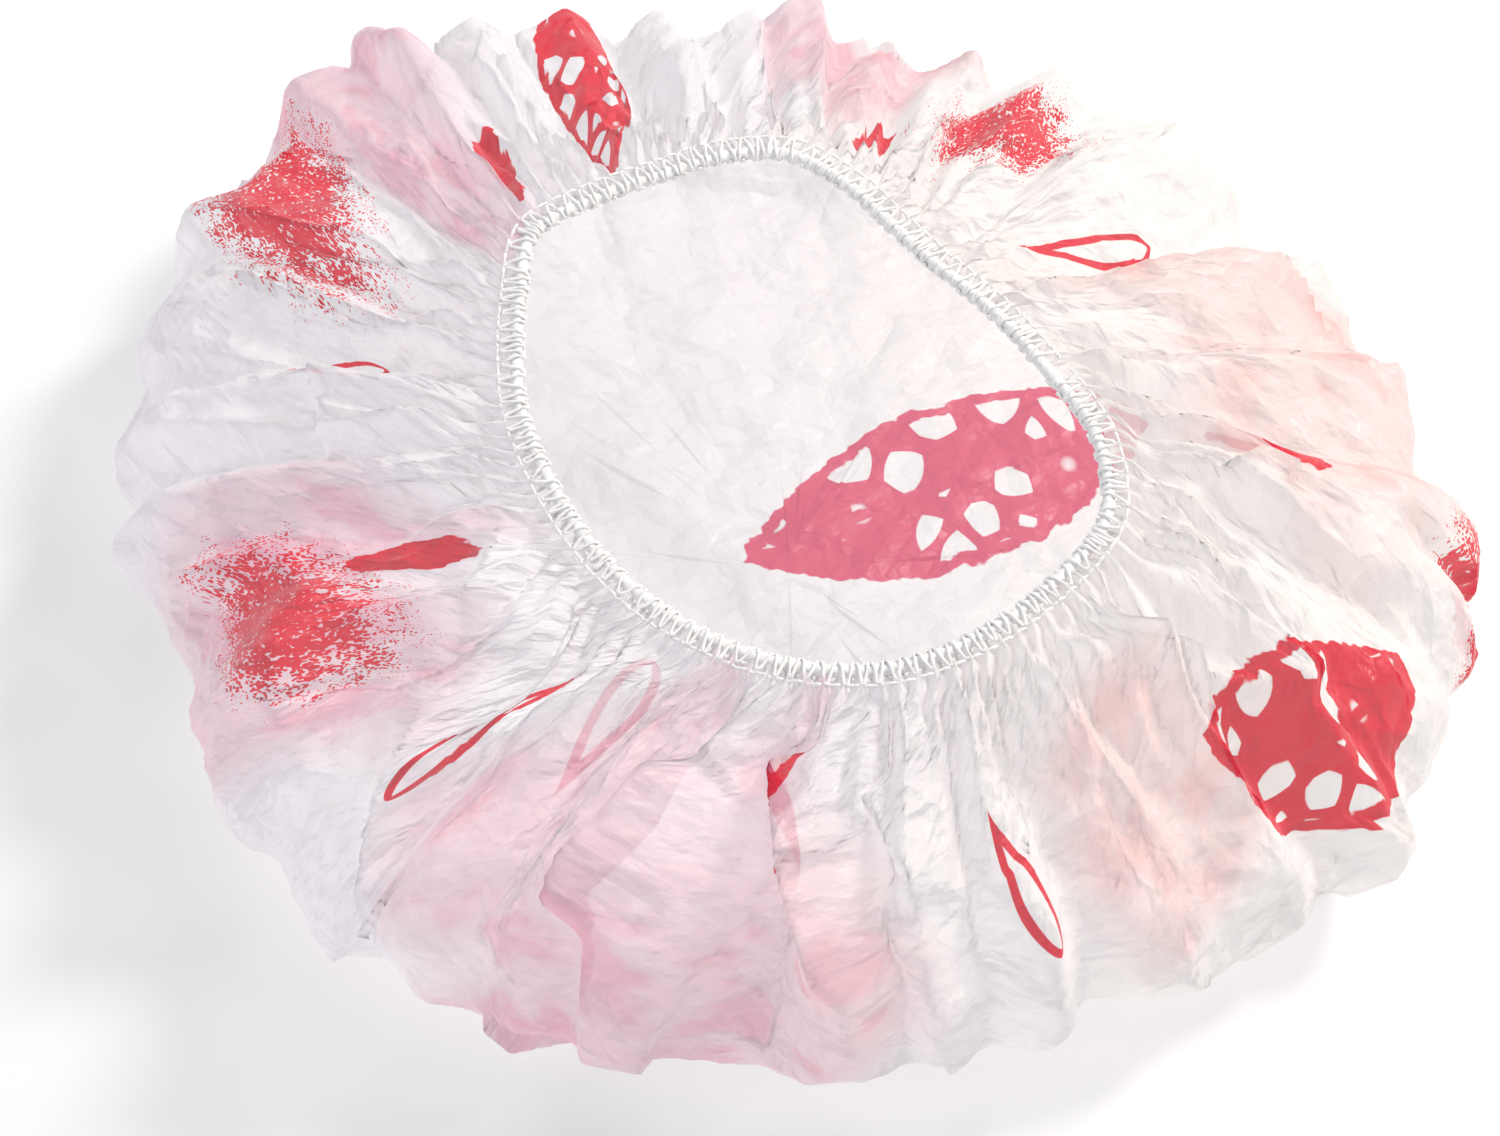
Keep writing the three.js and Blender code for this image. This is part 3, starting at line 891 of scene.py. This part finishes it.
def film_colour(w, inside, wobble, height):
    """White painted cool on the left and warm on the right as lamp light, with pink patches of print and
    painted shade, which are paler in creases and seen from inside.
    """
    pink_and_painted_shade = w.node("ShaderNodeAttribute", attribute_name="pink_and_painted_shade").outputs["Fac"]
    painted_lamp_warmth = w.node("ShaderNodeAttribute", attribute_name="painted_lamp_warmth").outputs["Fac"]
    pink = w.math("MULTIPLY", pink_and_painted_shade, w.ramp(wobble, *PINK_WOBBLE, PALEST_PINK, 1.0))
    pink = w.math("MULTIPLY", pink, w.ramp(height, *PINK_CREASES, 1.0, CREASED_PINK))
    pink_in_painted_light = w.mix_colour(inside, w.mix_colour(painted_lamp_warmth, PINK_INK_IN_PAINTED_COOL_LIGHT, PINK_INK_IN_PAINTED_WARM_LIGHT), PINK_INK_FROM_INSIDE)
    return w.mix_colour(pink, w.mix_colour(painted_lamp_warmth, FILM_WHITE_IN_PAINTED_COOL_LIGHT, FILM_WHITE_IN_PAINTED_WARM_LIGHT), pink_in_painted_light)


def red_print(w, sheet, wobble, inks):
    """How much of each place the red motifs cover."""
    red = 0.0
    for kind, values in (
            ("leaf", {"Wobble": wobble}), ("drop", {}), ("stroke", {"Wobble": wobble}),
            ("spray", {"Sheet": sheet, "Wobble": wobble})):
        place = w.node("ShaderNodeUVMap", uv_map=kind).outputs[0]
        red = w.math("MAXIMUM", red, w.group(inks[kind], Place=place, **values))
    return red


def film_material(name, creases, inks=None):
    """Thin milky film, with red motifs where inks are given; lamps light what lies behind it too."""
    material, shader, w = new_material(name)
    flat = w.node("ShaderNodeUVMap", uv_map="sheet")
    width = 2 * FILM_RADIUS / MM
    sheet = w.vector_math("MULTIPLY", flat.outputs[0], (width, width, 0.0))
    inside = w.node("ShaderNodeNewGeometry").outputs["Backfacing"]
    wobble = w.noise(sheet, *WOBBLE_NOISE)
    height = w.group(creases, Sheet=sheet)
    colour = film_colour(w, inside, wobble, height)
    clearness = FILM_CLEARNESS
    if inks:
        red = red_print(w, sheet, wobble, inks)
        colour = w.mix_colour(red, colour, w.mix_colour(inside, RED_INK, RED_INK_FROM_INSIDE))
        clearness = w.math("MULTIPLY_ADD", red, INKED_CLEARNESS - FILM_CLEARNESS, FILM_CLEARNESS)
    normal = w.bump(height, CREASE_STRENGTH, CREASE_HEIGHT)
    w.feed(shader.inputs["Base Color"], colour)
    w.feed(shader.inputs["Roughness"], w.ramp(wobble, *ROUGHNESS_WOBBLE, *FILM_ROUGHNESS))
    w.feed(shader.inputs["IOR"], FILM_IOR)
    w.feed(shader.inputs["Normal"], normal)
    through = w.node("ShaderNodeBsdfTranslucent")
    w.feed(through.inputs["Color"], colour)
    w.feed(through.inputs["Normal"], normal)
    clear = w.node("ShaderNodeBsdfTransparent").outputs[0]
    milky = w.mix_shader(FILM_TRANSLUCENCE, shader.outputs[0], through.outputs[0])
    seen = w.mix_shader(clearness, milky, clear)
    matt = w.node("ShaderNodeBsdfDiffuse")
    glow = w.node("ShaderNodeBsdfTranslucent")
    for node in (matt, glow):
        w.feed(node.inputs["Color"], FILM_GLOW)
    plain = w.mix_shader(GLOW_THROUGH, matt.outputs[0], glow.outputs[0])
    lighting = w.mix_shader(LIGHT_THROUGH, plain, clear)
    camera_ray = w.node("ShaderNodeLightPath").outputs["Is Camera Ray"]
    surface = material.node_tree.nodes["Material Output"].inputs["Surface"]
    w.feed(surface, w.mix_shader(camera_ray, lighting, seen))
    return material


def yarn_material(name, colour, fibres_per_m):
    """White textured yarn: a matt fibre with a faint sheen and fine hairiness."""
    material, shader, w = new_material(name)
    fibres = w.noise(w.node("ShaderNodeTexCoord").outputs["Object"], fibres_per_m, *FIBRE_NOISE)
    w.feed(shader.inputs["Base Color"], w.mix_colour(fibres, YARN_SHADE, colour))
    w.feed(shader.inputs["Roughness"], YARN_ROUGHNESS)
    w.feed(shader.inputs["Sheen Weight"], YARN_SHEEN)
    w.feed(shader.inputs["Sheen Roughness"], YARN_SHEEN_ROUGHNESS)
    w.feed(shader.inputs["Normal"], w.bump(fibres, FIBRE_STRENGTH, FIBRE_HEIGHT))
    return material


# The film

def place_on_motif(sheet, motifs):
    """For each place on the sheet, where it lies on its nearest motif, in that motif's own size."""
    nearest = np.full(sheet.shape[:-1], np.inf)
    local = np.zeros_like(sheet)
    for centre, turn, size in motifs:
        angle = math.radians(turn)
        offset = sheet - np.array(centre) * MM
        turned = np.stack([offset[..., 0] * math.cos(angle) + offset[..., 1] * math.sin(angle),
                           offset[..., 1] * math.cos(angle) - offset[..., 0] * math.sin(angle)], -1)
        place = turned / (np.array(size) * MM)
        away = np.linalg.norm(place, axis=-1)
        closer = (away < nearest)[..., None]
        local = np.where(closer, place, local)
        nearest = np.minimum(away, nearest)
    return local, nearest


def print_film(film, sheet):
    """Give the film its places on the nearest motifs, its printed faces, its pink patches of print and
    painted shade, and its painted warm and cool lamp light.
    """
    mesh = film.data
    corners = read_numbers(mesh.loops, "vertex_index")
    starts = read_numbers(mesh.polygons, "loop_start")
    totals = read_numbers(mesh.polygons, "loop_total")
    faces = np.repeat(np.arange(len(starts)), totals)
    middles = np.add.reduceat(sheet[corners], starts) / totals[:, None]
    printed = np.zeros(len(starts), bool)
    for kind, motifs in MOTIFS.items():
        choice = np.argmin([place_on_motif(middles, (motif,))[1] for motif in motifs], axis=0)
        local = np.zeros((len(corners), 2))
        for index, motif in enumerate(motifs):
            mine = choice[faces] == index
            local[mine] = place_on_motif(sheet[corners[mine]], (motif,))[0]
        printed |= place_on_motif(middles, motifs)[1] < MOTIF_REACH_SHARE
        add_uv_map(mesh, kind, local)
    mesh.polygons.foreach_set("material_index", printed.astype(np.int32))
    mesh.uv_layers.active = mesh.uv_layers["sheet"]
    across, up = sheet[:, 0], sheet[:, 1]
    # The pink patches, of print and of painted shade on the front wall
    bend = BLUSH_RIPPLE_BEND * np.sin(up / BLUSH_RIPPLE_ALONG)
    ripple = BLUSH_RIPPLE_SHARE * np.sin(across / BLUSH_RIPPLE_ACROSS + bend)
    away = place_on_motif(sheet, PINK_AND_PAINTED_SHADE_PATCHES)[1] + ripple
    add_point_values(mesh, "pink_and_painted_shade", 1 - smooth_step(*BLUSH_EDGE_SHARES, away))
    # Painted lamp light: warmer towards the key lamp on the right, cooler towards the fill lamp on the
    # left
    drift = PAINTED_WARMTH_DRIFT * np.sin(up / PAINTED_WARMTH_DRIFT_LENGTH)
    add_point_values(mesh, "painted_lamp_warmth", smooth_step(*PAINTED_WARMTH_RANGE, across + drift))


def make_film():
    points, flat = film_points()
    sheet = np.vstack([[[0, 0]], flat.reshape(-1, 2)])
    film = grid_mesh("gathered_film", points, sheet)
    creases = crease_group()
    inks = {"leaf": leaf_group(), "drop": drop_group(), "stroke": stroke_group(), "spray": spray_group()}
    film.data.materials.append(film_material("milky_film", creases))
    film.data.materials.append(film_material("printed_film", creases, inks))
    print_film(film, sheet)
    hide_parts("cap_film")
    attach(film, "root")


# The seam

def looper_path(rng, face, start):
    """A looper thread's way: out on the film, over the elastic to its inner side, and back."""
    there = list(zip(WRAP_SHARES, WRAP_ANGLES))
    back = [(1 - share, angle) for share, angle in reversed(there)]
    places = []
    for stitch in range(STITCH_COUNT - 1):
        tip_slack, there_slack, back_slack = rng.uniform(*LOOP_SLACK_SHARES, SLACK_DRAWS)[:3]
        lean = rng.uniform(-LOOP_LEAN_SHARE, LOOP_LEAN_SHARE)
        far = LOOPER_OUT * tip_slack
        way = [(-LOOP_CORNER_SHARE, far, SEAM_LIFT * LOOP_START_LIFT_SHARE),
               (0.0, far * LOOP_TIP_SHARE, SEAM_LIFT), (LOOP_CORNER_SHARE, far, SEAM_LIFT)]
        for side, slack in ((there, there_slack), (back, back_slack)):
            reach = WRAP_RADIUS * (1 + WRAP_SLACK_SHARE * (slack - 1))
            for share, degrees in side:
                angle = math.radians(degrees)
                way.append((share + lean, reach * math.cos(angle), reach * math.sin(angle)))
        for share, out, lift in way:
            places.append(((stitch + start + share) / STITCH_COUNT, out, face * lift))
    turn, out, lift = np.array(places).T
    turn = turn + wander(rng, turn, STITCH_DRIFT_SHARE / STITCH_COUNT, *STITCH_WAVES)
    return smooth_through(seam_point(turn, out, lift), PATH_STEPS)


def needle_path(rng):
    """The needle thread's way: a stitch along the film's face, and a dip at each needle hole."""
    places = []
    for stitch in range(STITCH_COUNT - 1):
        out = NEEDLE_OUT + rng.uniform(-NEEDLE_SHIFT, NEEDLE_SHIFT)
        for share, lift in NEEDLE_LIFT_SHARES:
            places.append(((stitch + share) / STITCH_COUNT, out, SEAM_LIFT * lift))
    return smooth_through(seam_point(*np.array(places).T), PATH_STEPS)


def make_elastic():
    turn = np.arange(ELASTIC_STEPS) / ELASTIC_STEPS
    path = seam_point(turn, np.zeros_like(turn), 0)
    elastic = swept_mesh("covered_elastic", path, ELASTIC_RADIUS, ELASTIC_SIDES, BRAID_STRANDS,
                         BRAID_TURNS, closed=True)
    elastic.data.materials.append(yarn_material("elastic_cover", ELASTIC_WHITE, ELASTIC_FIBRES_PER_M))
    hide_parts("elastic_cord")
    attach(elastic, "root")


def make_threads():
    rng = np.random.default_rng(THREAD_SEED)
    yarn = yarn_material("overlock_yarn", YARN_WHITE, YARN_FIBRES_PER_M)
    for name, node, path in (
            ("upper_looper_yarn", "overlock_upper_looper_thread", looper_path(rng, 1, 0)),
            ("lower_looper_yarn", "overlock_lower_looper_thread", looper_path(rng, -1, 0.5)),
            ("needle_yarn", "overlock_needle_thread", needle_path(rng))):
        thread = swept_mesh(name, path, THREAD_RADIUS, THREAD_SIDES, THREAD_PLIES,
                            len(path) // POINTS_PER_TWIST, closed=False)
        thread.data.materials.append(yarn)
        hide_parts(node)
        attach(thread, "root")


# The stage

def make_floor():
    bpy.ops.object.select_all(action="DESELECT")
    bpy.ops.mesh.primitive_plane_add(size=FLOOR_SIZE, location=(0, 0, -FLOOR_DROP))
    floor = bpy.context.object
    floor.name = "floor"
    material, shader, w = new_material("white_floor")
    w.feed(shader.inputs["Base Color"], FLOOR_WHITE)
    w.feed(shader.inputs["Roughness"], FLOOR_ROUGHNESS)
    floor.data.materials.append(material)


def make_world():
    world = bpy.data.worlds.new("soft_room")
    bpy.context.scene.world = world
    world.use_nodes = True
    background = world.node_tree.nodes["Background"]
    background.inputs["Color"].default_value = WORLD_COLOUR
    background.inputs["Strength"].default_value = WORLD_STRENGTH


def make_lamp(name, place, size, power, colour):
    """A round lamp that faces the cap."""
    data = bpy.data.lights.new(name, "AREA")
    data.shape = "DISK"
    data.size = size
    data.energy = power
    data.color = colour
    lamp = bpy.data.objects.new(name, data)
    lamp.location = place
    lamp.rotation_euler = (-Vector(place)).to_track_quat("-Z", "Y").to_euler()
    bpy.context.scene.collection.objects.link(lamp)


def make_camera():
    data = bpy.data.cameras.new("camera")
    data.lens = CAMERA_LENS
    data.sensor_width = SENSOR_WIDTH
    data.shift_x = (IMAGE_WIDTH / 2 - ORIGIN_PIXEL[0]) / IMAGE_WIDTH
    data.shift_y = (ORIGIN_PIXEL[1] - IMAGE_HEIGHT / 2) / IMAGE_WIDTH
    camera = bpy.data.objects.new("camera", data)
    camera.location = (0, -CAMERA_DISTANCE * math.cos(CAMERA_ELEVATION),
                       CAMERA_DISTANCE * math.sin(CAMERA_ELEVATION))
    camera.rotation_euler = (math.pi / 2 - CAMERA_ELEVATION, 0, 0)
    bpy.context.scene.collection.objects.link(camera)
    bpy.context.scene.camera = camera


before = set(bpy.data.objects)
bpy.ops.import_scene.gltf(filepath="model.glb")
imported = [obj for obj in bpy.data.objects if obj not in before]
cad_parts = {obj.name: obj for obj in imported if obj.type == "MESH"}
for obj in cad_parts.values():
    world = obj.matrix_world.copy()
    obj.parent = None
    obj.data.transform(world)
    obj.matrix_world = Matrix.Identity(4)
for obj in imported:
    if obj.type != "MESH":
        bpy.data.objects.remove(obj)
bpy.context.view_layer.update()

make_camera()
make_world()
for lamp_name, lamp_values in LAMPS.items():
    make_lamp(lamp_name, *lamp_values)
make_floor()
make_film()
make_elastic()
make_threads()

bpy.context.scene.view_settings.view_transform = "Standard"
